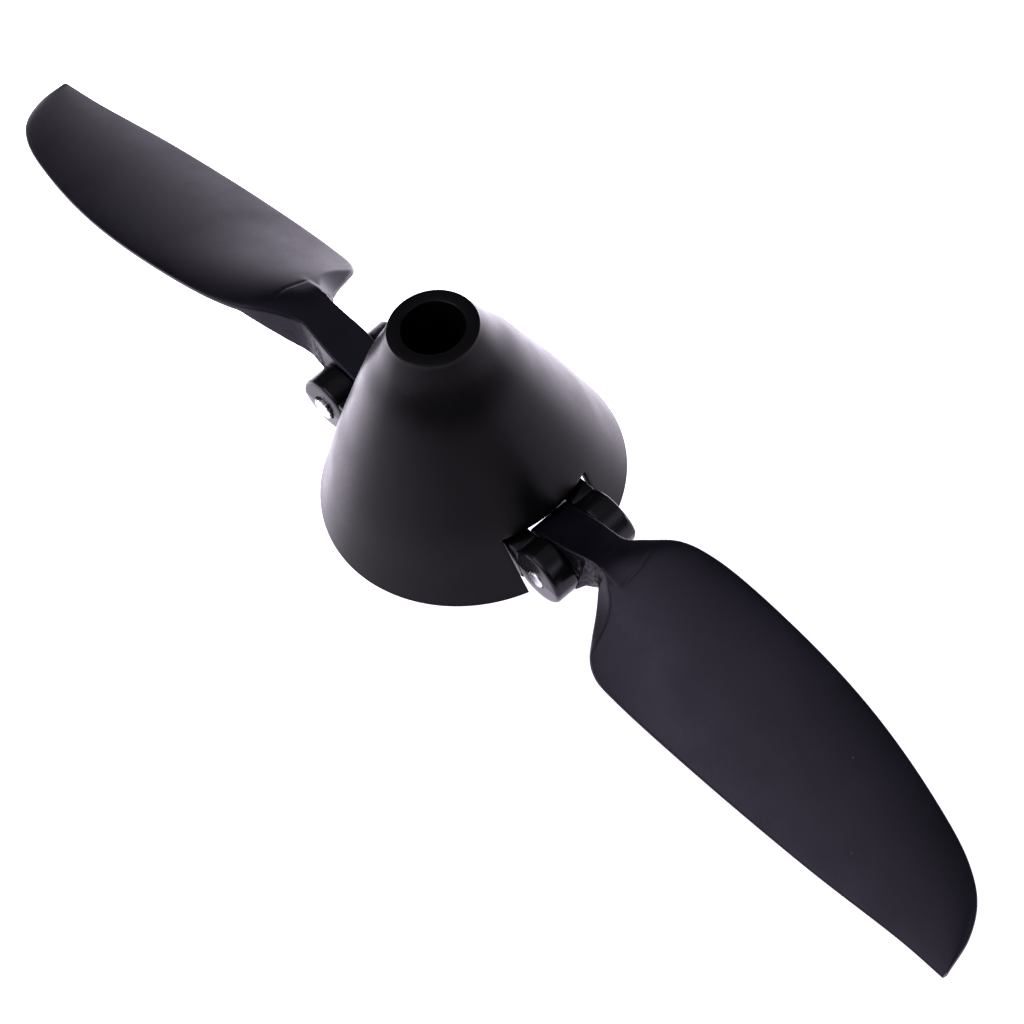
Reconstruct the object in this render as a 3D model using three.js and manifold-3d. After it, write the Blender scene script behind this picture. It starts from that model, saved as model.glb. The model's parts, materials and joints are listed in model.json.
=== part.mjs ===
// Two-blade folding propeller for a small electric model aeroplane.
//
// Millimetres, +Z forward along the spin axis, origin on that axis at the rear face of the shaft
// adapter, where the propeller meets the motor. The hinge pins lie along Y, so blade A stands out
// along +X and blade B along -X. At rest the blades hang back from square by BLADE_DROOP, as they
// do on a table top.

import * as THREE from 'three';
import { mergeVertices } from 'three/addons/utils/BufferGeometryUtils.js';
import Module from 'manifold-3d';

const wasm = await Module();
wasm.setup();

// ---- driving dimensions -------------------------------------------------------------------

const DEGREE = Math.PI / 180;
const GAP = 0.3;                     // clearance that touching pieces keep
const PAST = 1;                      // how far a cutter runs past the piece that it cuts
const OVERLAP = 0.5;                 // how far two solids reach into each other before a join

const RIM_Z = 5.4;                   // open rear rim of the spinner
const SPINNER_LENGTH = 26;
const SPINNER_RADIUS = 16;
const SPINNER_WALL = 1.1;
const NOSE_RADIUS = 4.74;            // outer edge of the flat ring at the nose
const NOSE_BORE_RADIUS = 3.31;
const NOSE_SOLID = 2;                // the hollow round the sleeve stops this far behind the nose
const SLEEVE_RADIUS = 4.4;           // tube that runs back from the nose to the yoke
const SLEEVE_FLOOR = 1.5;
const SLOT_HALF_WIDTH = 5.65;        // slots that let the hinge ears out
const SLOT_TOP = 6.94;               // above the rim

const PIN_X = 16.26;
const PIN_Z = RIM_Z + 3.27;
const PIN_RADIUS = 1.0;
const PIN_HEAD_RADIUS = 1.35;
const PIN_HEAD_LENGTH = 0.9;
const PIN_HEAD_TEETH = 12;
const PIN_HEAD_TOOTH = 0.15;         // depth of the knurl
const PIN_HEAD_SEAT = 0.8;           // depth of the pocket in the ear that takes the head
const PIN_TAIL = 0.1;                // how far the plain end stands out of the other ear

const EAR_OUTER = 5.36;              // half the width over the two ears of one hinge
const EAR_INNER = 2.85;              // inner face of an ear between the hub and its boss
const EAR_BOSS_INNER = 2.5;
const EAR_BOSS_RADIUS = 3.35;
const EAR_BOSS_FILL = 2;             // height over the pin to which the ear backs its boss
const EAR_TOP = RIM_Z + 5.9;         // front face of the ear between the hub and its boss
const YOKE_REAR = RIM_Z + 1.1;
const YOKE_HUB_RADIUS = 6.6;
const YOKE_FRONT = RIM_Z + 7.8;
const YOKE_WEB_HALF_LENGTH = 7.9;    // solid block between the ears
const YOKE_RECESS_DEPTH = 1;

const ADAPTER_RADIUS = 6;
const ADAPTER_FLANGE = YOKE_REAR - GAP;
const SPIGOT_FLATS = 7;
const SPIGOT_TOP = YOKE_FRONT - YOKE_RECESS_DEPTH - GAP;
const SHAFT_BORE_RADIUS = 1.6;       // takes a 3.17 mm motor shaft
const SHAFT_BORE_DEPTH = 7.5;

const THREAD_RADIUS = 1.5;           // M3 screw and set screws
const THREAD_HOLE_RADIUS = THREAD_RADIUS + GAP;
const SCREW_HEAD_RADIUS = 2.75;
const SCREW_HEAD_LENGTH = 3;
const SCREW_SOCKET_FLATS = 2.5;
const SCREW_LENGTH = 7;
const WASHER_RADIUS = 2.9;
const WASHER_THICKNESS = 0.5;
const SET_SCREW_Z = 2.6;
const SET_SCREW_INNER = 1.9;
const SET_SCREW_OUTER = 5.6;
const SET_SCREW_FLATS = 1.5;
const SOCKET_DEPTH = 1.6;

const BLADE_DROOP = 11.5 * DEGREE;
const BLADE_HEIGHT = 5.7;            // chord line ahead of the pin, measured square to the blade
const BLADE_ROOT = 4.8;              // from the pin to the first blade section
const BLADE_TIP = 60.4;              // from the pin to the tip
const PITCH_ROOT = 79;               // advance of the blade surface in one turn
const PITCH_TIP = 118;
const BLADE_CAMBER = 0.055;          // of the chord
const BLADE_EDGE = 0.4;
const BLADE_THICKNESS_ROOT = 2.3;
const BLADE_THICKNESS_TIP = 0.8;

const ARM_HALF_WIDTH = 2.2;
const ARM_BOSS_RADIUS = 3.4;
const ARM_HEEL_RADIUS = 4.2;         // reach of the arm's inner end from the pin
const ARM_HEEL_END = 205 * DEGREE;   // where the heel gives way to the round boss
const ARM_SLOPE = 0.55;              // rise of the arm towards the blade
const ARM_DEPTH = 4.4;               // measured square to the blade
const ARM_SHOULDER = 6.4;            // where the sloping front face of the arm ends
const ARM_END = 9.4;
const ARM_END_DEPTH = 0.9;           // thickness of the wedge that the arm ends in

// Edges of one blade, seen square to it from the front: the distance from the pin, then the
// distance from the middle of the arm, positive on the side that leads when it turns.
const LEADING_EDGE = [
  [4.8, 1.9], [7.3, 3.35], [10.2, 5.3], [14.2, 6.42], [25.6, 6.98],
  [36.5, 6.39], [46.9, 4.53], [54, 2.38], [57.5, 0.15], [59.5, -2.88], [60.4, -6.6],
];
const TRAILING_EDGE = [
  [4.8, -1.9], [6.7, -2.6], [9.6, -6.3], [12.2, -8.85], [16, -9.33],
  [28, -9.23], [42.7, -8.53], [55, -7.47], [60.3, -7.3],
];

// Outer radius of the spinner against the fraction of its length.
const SPINNER_PROFILE = [
  [0, SPINNER_RADIUS], [0.12, 14.83], [0.28, 13.32], [0.45, 11.49], [0.62, 9.59], [0.76, 7.92],
  [0.88, 6.14], [1, NOSE_RADIUS],
];

const ROUND = 56;                    // facets of a large round face
const SMALL_ROUND = 20;

// ---- materials ----------------------------------------------------------------------------

const plastic = (color, roughness) => new THREE.MeshStandardMaterial({
  color, roughness, metalness: 0,
});
const metal = (color, roughness) => new THREE.MeshStandardMaterial({
  color, roughness, metalness: 1,
});
const spinnerPlastic = plastic(0x1d1d20, 0.42);
const yokePlastic = plastic(0x161618, 0.5);
const bladePlastic = plastic(0x26262b, 0.5);
const aluminium = metal(0xb9bcc0, 0.35);
const steel = metal(0xc9c9c6, 0.25);
const blackSteel = metal(0x2a2a2c, 0.4);

// ---- solids -------------------------------------------------------------------------------

// A closed geometry as a solid that can be cut and joined.
function solid(geometry) {
  const bare = geometry.index ? geometry.toNonIndexed() : geometry.clone();
  bare.deleteAttribute('normal');
  bare.deleteAttribute('uv');
  const merged = mergeVertices(bare, 1e-4);
  const mesh = new wasm.Mesh({
    numProp: 3,
    vertProperties: new Float32Array(merged.attributes.position.array),
    triVerts: new Uint32Array(merged.index.array),
  });
  mesh.merge();
  return new wasm.Manifold(mesh);
}

function geometryOf(manifold) {
  const mesh = manifold.getMesh();
  const geometry = new THREE.BufferGeometry();
  geometry.setAttribute('position', new THREE.BufferAttribute(mesh.vertProperties, 3));
  geometry.setIndex(new THREE.BufferAttribute(mesh.triVerts, 1));
  geometry.computeVertexNormals();
  return geometry;
}

function node(name, manifold, material) {
  const mesh = new THREE.Mesh(geometryOf(manifold), material);
  mesh.name = name;
  return mesh;
}

function block(x0, x1, y0, y1, z0, z1) {
  const geometry = new THREE.BoxGeometry(x1 - x0, y1 - y0, z1 - z0);
  geometry.translate((x0 + x1) / 2, (y0 + y1) / 2, (z0 + z1) / 2);
  return solid(geometry);
}

// A round or many-sided bar along Z. Six facets give a hexagon with its flats across X.
function barAlongZ(radius, z0, z1, facets = SMALL_ROUND) {
  const geometry = new THREE.CylinderGeometry(radius, radius, z1 - z0, facets);
  geometry.rotateX(Math.PI / 2);
  geometry.translate(0, 0, (z0 + z1) / 2);
  return solid(geometry);
}

function barAlongY(radius, y0, y1, x = 0, z = 0, facets = SMALL_ROUND) {
  const geometry = new THREE.CylinderGeometry(radius, radius, y1 - y0, facets);
  geometry.translate(x, (y0 + y1) / 2, z);
  return solid(geometry);
}

const hexagonRadius = (flats) => flats / Math.sqrt(3);

// Points [radius, z] of a closed outline, turned about Z.
function turned(outline, facets = ROUND) {
  const points = outline.map(([radius, z]) => new THREE.Vector2(radius, z));
  const geometry = new THREE.LatheGeometry([...points, points[0]], facets);
  geometry.rotateX(Math.PI / 2);
  return solid(geometry);
}

const joined = (pieces) => pieces.reduce((whole, piece) => whole.add(piece));
const cut = (whole, pieces) => pieces.reduce((rest, piece) => rest.subtract(piece), whole);

// The same piece on the opposite side of the spin axis.
const acrossAxis = (piece) => piece.rotate([0, 0, 180]);

// A smooth curve through flat points.
function curveThrough(points) {
  const places = points.map(([x, y]) => new THREE.Vector3(x, y, 0));
  return new THREE.CatmullRomCurve3(places, false, 'centripetal');
}

// ---- spinner ------------------------------------------------------------------------------

function spinnerShell() {
  const steps = 11;
  const profile = curveThrough(SPINNER_PROFILE.map(([along, radius]) => [
    radius, RIM_Z + along * SPINNER_LENGTH,
  ]));
  const noseZ = RIM_Z + SPINNER_LENGTH;
  const outer = profile.getSpacedPoints(steps).map((point) => [point.x, point.y]);
  const inner = outer
    .map(([radius, z]) => [radius - SPINNER_WALL, z])
    .filter(([radius, z]) => radius > SLEEVE_RADIUS + OVERLAP && z < noseZ - NOSE_SOLID)
    .reverse();
  const crotchZ = inner[0][1] + SPINNER_WALL;
  const floorRear = YOKE_FRONT - YOKE_RECESS_DEPTH + GAP;
  const shell = turned([
    ...outer,
    [NOSE_BORE_RADIUS, noseZ],
    [NOSE_BORE_RADIUS, floorRear + SLEEVE_FLOOR],
    [THREAD_HOLE_RADIUS, floorRear + SLEEVE_FLOOR],
    [THREAD_HOLE_RADIUS, floorRear],
    [SLEEVE_RADIUS, floorRear],
    [SLEEVE_RADIUS, crotchZ],
    ...inner,
  ]);
  const slot = block(
    SLEEVE_RADIUS + PAST, SPINNER_RADIUS + PAST,
    -SLOT_HALF_WIDTH, SLOT_HALF_WIDTH,
    RIM_Z - PAST, RIM_Z + SLOT_TOP,
  );
  return cut(shell, [slot, acrossAxis(slot)]);
}

// ---- yoke ---------------------------------------------------------------------------------

// One ear of the hinge at +X, on the side of Y given by side.
function ear(side) {
  const between = (inner) => [side * inner, side * EAR_OUTER].sort((a, b) => a - b);
  const bossEdge = PIN_X - EAR_BOSS_RADIUS;
  const arm = block(0, bossEdge + PAST, ...between(EAR_INNER), YOKE_REAR, EAR_TOP);
  const neck = block(bossEdge, PIN_X, ...between(EAR_INNER), YOKE_REAR, PIN_Z + EAR_BOSS_FILL);
  const boss = barAlongY(EAR_BOSS_RADIUS, ...between(EAR_BOSS_INNER), PIN_X, PIN_Z, 32);
  return joined([arm, neck, boss]);
}

function yoke() {
  const hub = barAlongZ(YOKE_HUB_RADIUS, YOKE_REAR, YOKE_FRONT, 48);
  const web = block(
    -YOKE_WEB_HALF_LENGTH, YOKE_WEB_HALF_LENGTH, -EAR_OUTER, EAR_OUTER, YOKE_REAR, EAR_TOP,
  );
  const clevis = ear(1).add(ear(-1));
  const recess = barAlongZ(
    SLEEVE_RADIUS + GAP, YOKE_FRONT - YOKE_RECESS_DEPTH, YOKE_FRONT + PAST, 48,
  );
  const socket = barAlongZ(
    hexagonRadius(SPIGOT_FLATS + 2 * GAP), YOKE_REAR - PAST, YOKE_FRONT + PAST, 6,
  );
  const pinBore = barAlongY(PIN_RADIUS + GAP, -EAR_OUTER - PAST, EAR_OUTER + PAST, PIN_X, PIN_Z);
  const headSeat = barAlongY(
    PIN_HEAD_RADIUS + GAP, EAR_OUTER - PIN_HEAD_SEAT, EAR_OUTER + PAST, PIN_X, PIN_Z,
  );
  const solidYoke = joined([hub, web, clevis, acrossAxis(clevis)]);
  return cut(solidYoke, [
    recess, socket, pinBore, headSeat, acrossAxis(pinBore), acrossAxis(headSeat),
  ]);
}

// ---- hinge pin ----------------------------------------------------------------------------

// The pin of the hinge at +X, with its knurled head towards +Y.
function hingePin() {
  const headInner = EAR_OUTER - PIN_HEAD_SEAT + GAP;
  const shank = barAlongY(PIN_RADIUS, -EAR_OUTER - PIN_TAIL, headInner + OVERLAP, PIN_X, PIN_Z);
  const outline = new THREE.Shape();
  for (let corner = 0; corner < 2 * PIN_HEAD_TEETH; corner += 1) {
    const radius = PIN_HEAD_RADIUS - (corner % 2) * PIN_HEAD_TOOTH;
    const angle = corner * Math.PI / PIN_HEAD_TEETH;
    const x = radius * Math.cos(angle);
    const y = radius * Math.sin(angle);
    if (corner === 0) outline.moveTo(x, y);
    else outline.lineTo(x, y);
  }
  const head = new THREE.ExtrudeGeometry(outline, { depth: PIN_HEAD_LENGTH, bevelEnabled: false });
  head.rotateX(-Math.PI / 2);
  head.translate(PIN_X, headInner, PIN_Z);
  return shank.add(solid(head));
}

// ---- blade --------------------------------------------------------------------------------

const pitchAt = (along) => {
  const left = 1 - (along - BLADE_ROOT) / (BLADE_TIP - BLADE_ROOT);
  return PITCH_ROOT + (PITCH_TIP - PITCH_ROOT) * (1 - left * left);
};

// Height of the helical chord surface over the plane of the pin.
const chordHeight = (along, across) => (
  BLADE_HEIGHT + across * pitchAt(along) / (2 * Math.PI * (PIN_X + along))
);

// Fullness of a section at a fraction of its chord: 0 at both edges, 1 a third of the way back.
const fullness = (fraction) => (
  Math.sqrt(fraction) * (1 - fraction) / (Math.sqrt(1 / 3) * (2 / 3))
);

// One section of the blade: a closed ring of points from the leading edge over the front face
// to the trailing edge and back along the rear face.
function bladeSection(lead, trail, facets) {
  const chord = lead.distanceTo(trail);
  const far = (lead.x + trail.x) / 2 / BLADE_TIP;
  const thickness = THREE.MathUtils.lerp(BLADE_THICKNESS_ROOT, BLADE_THICKNESS_TIP, Math.sqrt(far));
  const point = (fraction, side) => {
    const place = lead.clone().lerp(trail, fraction);
    const half = (BLADE_EDGE + (thickness - BLADE_EDGE) * fullness(fraction)) / 2;
    const camber = BLADE_CAMBER * chord * 4 * fraction * (1 - fraction);
    place.z = chordHeight(place.x, place.y) + camber + side * half;
    return place;
  };
  const front = [];
  const rear = [];
  for (let i = 0; i <= facets; i += 1) {
    const fraction = (1 - Math.cos(Math.PI * i / facets)) / 2;
    front.push(point(fraction, 1));
    rear.unshift(point(fraction, -1));
  }
  return [...front, ...rear];
}

// Closed skin over a row of equal rings, with flat ends.
function lofted(rings) {
  const size = rings[0].length;
  const positions = rings.flat().flatMap((point) => [point.x, point.y, point.z]);
  const index = [];
  for (let i = 0; i + 1 < rings.length; i += 1) {
    for (let j = 0; j < size; j += 1) {
      const a = i * size + j;
      const b = i * size + (j + 1) % size;
      index.push(a, b, a + size, b, b + size, a + size);
    }
  }
  const last = (rings.length - 1) * size;
  for (let j = 0; j + 1 < size / 2; j += 1) {
    const k = size - 1 - j;
    index.push(j, k, j + 1, j + 1, k, k - 1);
    index.push(last + j, last + j + 1, last + k, last + j + 1, last + k - 1, last + k);
  }
  const geometry = new THREE.BufferGeometry();
  geometry.setAttribute('position', new THREE.Float32BufferAttribute(positions, 3));
  geometry.setIndex(index);
  return solid(geometry);
}

function bladeSkin() {
  const stations = 26;
  const facets = 7;
  const lead = curveThrough(LEADING_EDGE);
  const trail = curveThrough(TRAILING_EDGE);
  const rings = [];
  for (let i = 0; i <= stations; i += 1) {
    const along = i / stations;
    rings.push(bladeSection(lead.getPointAt(along), trail.getPointAt(along), facets));
  }
  return lofted(rings);
}

// The bar between the pin and the blade, as a side view in X and Z given a width along Y. Its
// front face runs on inwards over the heel, and its rear face leaves the round boss above the pin.
function bladeArm() {
  const lean = Math.atan(ARM_SLOPE);
  const topAt = (along) => ARM_BOSS_RADIUS / Math.cos(lean) + ARM_SLOPE * along;
  const rearOffset = ARM_BOSS_RADIUS - ARM_DEPTH * Math.cos(lean);
  const rearAngle = lean + Math.asin(rearOffset / ARM_BOSS_RADIUS);
  const heelAngle = Math.PI / 2 + lean + Math.acos(ARM_BOSS_RADIUS / ARM_HEEL_RADIUS);
  const side = new THREE.Shape();
  side.moveTo(ARM_END, BLADE_HEIGHT + ARM_END_DEPTH);
  side.lineTo(ARM_SHOULDER, topAt(ARM_SHOULDER));
  side.absarc(0, 0, ARM_HEEL_RADIUS, heelAngle, ARM_HEEL_END, false);
  side.absarc(0, 0, ARM_BOSS_RADIUS, ARM_HEEL_END + lean, 2 * Math.PI + rearAngle, false);
  side.lineTo(ARM_END - PAST, topAt(ARM_END - PAST) - ARM_DEPTH);
  side.lineTo(ARM_END, BLADE_HEIGHT);
  const geometry = new THREE.ExtrudeGeometry(side, {
    depth: 2 * ARM_HALF_WIDTH, bevelEnabled: false, curveSegments: 20,
  });
  geometry.rotateX(Math.PI / 2);
  geometry.translate(0, ARM_HALF_WIDTH, 0);
  return solid(geometry);
}

function blade() {
  const bore = barAlongY(PIN_RADIUS + GAP, -ARM_HALF_WIDTH - PAST, ARM_HALF_WIDTH + PAST);
  return cut(bladeArm().add(bladeSkin()), [bore]);
}

// ---- shaft adapter and its screws ---------------------------------------------------------

function shaftAdapter() {
  const flange = barAlongZ(ADAPTER_RADIUS, 0, ADAPTER_FLANGE, 48);
  const spigot = barAlongZ(hexagonRadius(SPIGOT_FLATS), ADAPTER_FLANGE / 2, SPIGOT_TOP, 6);
  const shaftBore = barAlongZ(SHAFT_BORE_RADIUS, -PAST, SHAFT_BORE_DEPTH + OVERLAP);
  const screwBore = barAlongZ(THREAD_HOLE_RADIUS, SHAFT_BORE_DEPTH, SPIGOT_TOP + PAST);
  const setScrewBore = barAlongY(
    THREAD_HOLE_RADIUS, -ADAPTER_RADIUS - PAST, ADAPTER_RADIUS + PAST, 0, SET_SCREW_Z,
  );
  return cut(flange.add(spigot), [shaftBore, screwBore, setScrewBore]);
}

// The set screw on the +Y side, with its socket outwards.
function setScrew() {
  const body = barAlongY(THREAD_RADIUS, SET_SCREW_INNER, SET_SCREW_OUTER, 0, SET_SCREW_Z);
  const socket = barAlongY(
    hexagonRadius(SET_SCREW_FLATS), SET_SCREW_OUTER - SOCKET_DEPTH, SET_SCREW_OUTER + PAST,
    0, SET_SCREW_Z, 6,
  );
  return body.subtract(socket);
}

const WASHER_Z = YOKE_FRONT - YOKE_RECESS_DEPTH + SLEEVE_FLOOR + 2 * GAP;
const SCREW_HEAD_Z = WASHER_Z + WASHER_THICKNESS + GAP;

function screwWasher() {
  const disc = barAlongZ(WASHER_RADIUS, WASHER_Z, WASHER_Z + WASHER_THICKNESS);
  const hole = barAlongZ(THREAD_HOLE_RADIUS, WASHER_Z - PAST, WASHER_Z + WASHER_THICKNESS + PAST);
  return disc.subtract(hole);
}

function retainingScrew() {
  const headTop = SCREW_HEAD_Z + SCREW_HEAD_LENGTH;
  const head = barAlongZ(SCREW_HEAD_RADIUS, SCREW_HEAD_Z, headTop);
  const thread = barAlongZ(THREAD_RADIUS, SCREW_HEAD_Z - SCREW_LENGTH, SCREW_HEAD_Z + OVERLAP);
  const socket = barAlongZ(
    hexagonRadius(SCREW_SOCKET_FLATS), headTop - SOCKET_DEPTH, headTop + PAST, 6,
  );
  return head.add(thread).subtract(socket);
}

// ---- assembly -----------------------------------------------------------------------------

// A blade hung on its pin at +X.
function hungBlade(name) {
  const hinge = new THREE.Group();
  hinge.position.set(PIN_X, 0, PIN_Z);
  hinge.rotation.y = BLADE_DROOP;
  hinge.add(node(name, blade(), bladePlastic));
  return hinge;
}

const propeller = new THREE.Group();
const hub = new THREE.Group();
hub.add(
  node('spinner_shell', spinnerShell(), spinnerPlastic),
  node('yoke', yoke(), yokePlastic),
  node('shaft_adapter', shaftAdapter(), aluminium),
  node('retaining_screw', retainingScrew(), blackSteel),
  node('screw_washer', screwWasher(), steel),
  node('set_screw_a', setScrew(), blackSteel),
  node('set_screw_b', acrossAxis(setScrew()), blackSteel),
);
propeller.add(hub);

for (const [letter, turn] of [['a', 0], ['b', Math.PI]]) {
  const side = new THREE.Group();
  side.rotation.z = turn;
  side.add(node(`hinge_pin_${letter}`, hingePin(), steel), hungBlade(`blade_${letter}`));
  propeller.add(side);
}

export default propeller;
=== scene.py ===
"""A two-blade folding propeller: the looks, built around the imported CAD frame.

Shapes are worked out in millimetres and become metres in piece(). +Z is forward along the spin
axis, blade A stands out along +X and blade B along -X, and the hinge pins lie along Y.
"""

import json
import math

import bmesh
import bpy
import numpy as np
from mathutils import Matrix, Vector, noise

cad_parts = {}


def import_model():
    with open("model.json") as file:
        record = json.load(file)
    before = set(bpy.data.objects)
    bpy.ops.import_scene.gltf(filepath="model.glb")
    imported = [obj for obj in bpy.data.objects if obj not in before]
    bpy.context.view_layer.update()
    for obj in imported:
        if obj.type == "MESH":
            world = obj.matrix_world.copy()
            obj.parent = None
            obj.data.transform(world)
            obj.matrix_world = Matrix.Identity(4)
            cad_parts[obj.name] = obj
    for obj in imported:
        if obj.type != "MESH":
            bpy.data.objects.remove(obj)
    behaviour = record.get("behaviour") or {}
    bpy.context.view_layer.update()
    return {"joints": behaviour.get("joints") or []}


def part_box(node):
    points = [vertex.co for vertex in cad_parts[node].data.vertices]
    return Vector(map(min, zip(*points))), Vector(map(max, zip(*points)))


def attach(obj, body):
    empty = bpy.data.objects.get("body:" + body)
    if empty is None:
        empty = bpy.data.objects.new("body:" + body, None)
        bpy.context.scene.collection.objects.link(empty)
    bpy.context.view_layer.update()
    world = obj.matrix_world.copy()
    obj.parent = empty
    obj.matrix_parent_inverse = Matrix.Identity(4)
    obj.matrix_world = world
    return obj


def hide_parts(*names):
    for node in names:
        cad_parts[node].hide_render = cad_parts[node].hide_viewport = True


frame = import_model()

MM = 0.001

# ---- sizes read from the frame, in millimetres ----------------------------------------------


def node_box(node):
    """Lowest and highest corner of a CAD node."""
    low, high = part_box(node)
    return np.array(low) / MM, np.array(high) / MM


def hinge(name):
    """Where a hinge pin lies."""
    joint = next(j for j in frame["joints"] if j["name"] == name)
    return np.array(joint["pos_m"]) / MM


SPINNER_LOW, SPINNER_HIGH = node_box("spinner_shell")
YOKE_HIGH = node_box("yoke")[1]
ADAPTER_TOP = node_box("shaft_adapter")[1][2]
SCREW_LOW, SCREW_HIGH = node_box("retaining_screw")
WASHER_LOW, WASHER_HIGH = node_box("screw_washer")
SET_SCREW_LOW, SET_SCREW_HIGH = node_box("set_screw_a")
PIN_LOW, PIN_HIGH = node_box("hinge_pin_a")
PIN_X, _, PIN_Z = hinge("blade_a_fold")
RIM_Z = SPINNER_LOW[2]
NOSE_Z = SPINNER_HIGH[2]
SPINNER_RADIUS = SPINNER_HIGH[1]

# ---- driving dimensions of the fine shapes ---------------------------------------------------

# Spinner shell. The profile gives the share of the height and the radius there.
SPINNER_WALL = 1.1
SPINNER_EDGE = 0.16
SPINNER_PROFILE = [
    (0, SPINNER_RADIUS), (0.12, 14.83), (0.28, 13.32), (0.45, 11.49), (0.62, 9.59), (0.76, 7.92),
    (0.88, 6.14), (1, 4.74),
]
NOSE_BORE_RADIUS = 3.31
SLEEVE_RADIUS = 4.4
SLEEVE_FLOOR = 1.5
SLEEVE_HEADROOM = 0.3
SCREW_HOLE_RADIUS = 1.8
SLOT_HALF_WIDTH = 5.65
SLOT_TOP = RIM_Z + 6.72

# Yoke: ears reach from INNER to OUTER across the hinge, more on the side of the pin's head.
EAR_OUTER = 5.36
EAR_HEAD_OUTER = 5.6
EAR_INNER = 2.5
EAR_BOSS_RADIUS = 3.35
EAR_EDGE = 0.42
EAR_INNER_EDGE = 0.2
EAR_TOP = RIM_Z + 5.78
EAR_DRAFT = math.tan(math.radians(3.4))
YOKE_REAR = RIM_Z + 1.1
YOKE_HUB_RADIUS = 6.6
YOKE_FRONT = YOKE_HIGH[2]
YOKE_WEB_HALF_LENGTH = 7.9
RECESS_DEPTH = 1.0
SPIGOT_FLATS = 7
SPIGOT_SOCKET_FLATS = 7.6

# Hinge pins. The head stands out a little past the end of the CAD pin.
PIN_BORE_RADIUS = 1.12
PIN_SEAT_RADIUS = 1.44
PIN_SEAT_DEPTH = 0.8
PIN_SHANK_RADIUS = 1.0
PIN_HEAD_RADIUS = 1.25
PIN_HEAD_HEIGHT = 1.0
PIN_HEAD_STANDS_OUT = 0.15
PIN_EDGE = 0.12
PIN_SCALLOPS = 9
PIN_SCALLOP_DEPTH = 0.1

# Shaft adapter, washer and screws.
ADAPTER_RADIUS = 6.0
ADAPTER_GROOVE_DEPTH = 0.25
SHAFT_BORE_RADIUS = 1.6
SCREW_RADIUS = 1.5
THREAD_PITCH = 0.5
CAP_RADIUS = 2.75
CAP_HEIGHT = 3
CAP_KNURLS = 36
CAP_KNURL_DEPTH = 0.09
CAP_SOCKET_FLATS = 2.5
WASHER_RADII = (1.65, 2.9)
SET_SCREW_HEIGHT = 2.6
SET_SCREW_SOCKET_FLATS = 1.5
SOCKET_DEPTH = 1.6

# Blades. A pitch is the advance in one turn, and the camber is a share of the chord.
BLADE_DROOP = math.radians(11.5)
BLADE_HEIGHT = 5.7
BLADE_ROOT = 4.8
BLADE_TIP = 60.4
PITCH_ROOT = 79.0
PITCH_TIP = 118.0
CAMBER_ROOT = 0.115
CAMBER = 0.055
THICKNESS_ROOT = 2.3
THICKNESS_TIP = 0.8
ROOT_LEADING_THICKNESS = 0.9
TRAILING_THICKNESS = 0.4
BLADE_EDGE = 0.26
THINNEST = 0.34

# Arms and blade roots.
ARM_PIN_HALF_WIDTH = 2.36
ARM_HALF_WIDTH = 2.12
ARM_BOSS_RADIUS = 3.4
ARM_HEEL_RADIUS = 4.2
ARM_LEAN = math.atan(0.55)
ARM_DEPTH = 4.4
ARM_STRAIGHT_END = 3.5
ARM_TOP = 7.3
ARM_SPREAD_LEAD = 0.36
ARM_SPREAD_TRAIL = 0.8
KEEL_SLOPE_LEAD = 0.72
KEEL_SLOPE_TRAIL = 2.0
SHOULDER_CREASE = 10.9
SHOULDER_SWEEP = 4.6
SHOULDER_SLOPE = 0.62
SHOULDER_DEPTH = 1.2
GROOVE_AT = 9.15
GROOVE_WIDTH = 0.17
GROOVE_DEPTH = 0.09
PIT_AT = (6.45, -2.45)
PIT_SIZE = (0.26, 0.24)
PIT_DEPTH = 0.4
LUG_AT = 4.25
LUG_LENGTH = 0.36
LUG_REACH = 0.95
FLASH_DEPTH_LEAD = 0.1
FLASH_DEPTH_TRAIL = 0.2

# Both edges of the blade: distance out from the pin, and how far it leads.
LEADING_EDGE = [
    (ARM_STRAIGHT_END, 2.16), (5.2, ARM_HALF_WIDTH), (7.3, 3.35), (10.2, 5.3), (14.2, 6.42),
    (25.6, 6.98), (36.5, 6.39), (46.9, 4.53), (54, 2.38), (57.5, 0.15), (59.5, -2.88),
    (60.4, -6.6),
]
TRAILING_EDGE = [
    (ARM_STRAIGHT_END, -2.16), (5.3, -ARM_HALF_WIDTH), (6.2, -2.55), (7.3, -3.6), (8.55, -5.1),
    (9.75, -6.75), (11.05, -8.25), (12.7, -9.05), (16, -9.33), (28, -9.23), (42.7, -8.53),
    (55, -7.47), (60.3, -7.3),
]

# ---- small mathematics -----------------------------------------------------------------------


def mix(a, b, share):
    return a + (b - a) * share


def smoothstep(low, high, value):
    share = min(max((value - low) / (high - low), 0.0), 1.0)
    return share * share * (3 - 2 * share)


def soft_min(a, b, radius):
    """The smaller of two heights, rounded where they cross."""
    share = min(max(0.5 + (b - a) / (2 * radius), 0.0), 1.0)
    return mix(b, a, share) - radius * share * (1 - share)


def soft_max(a, b, radius):
    return -soft_min(-a, -b, radius)


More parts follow.
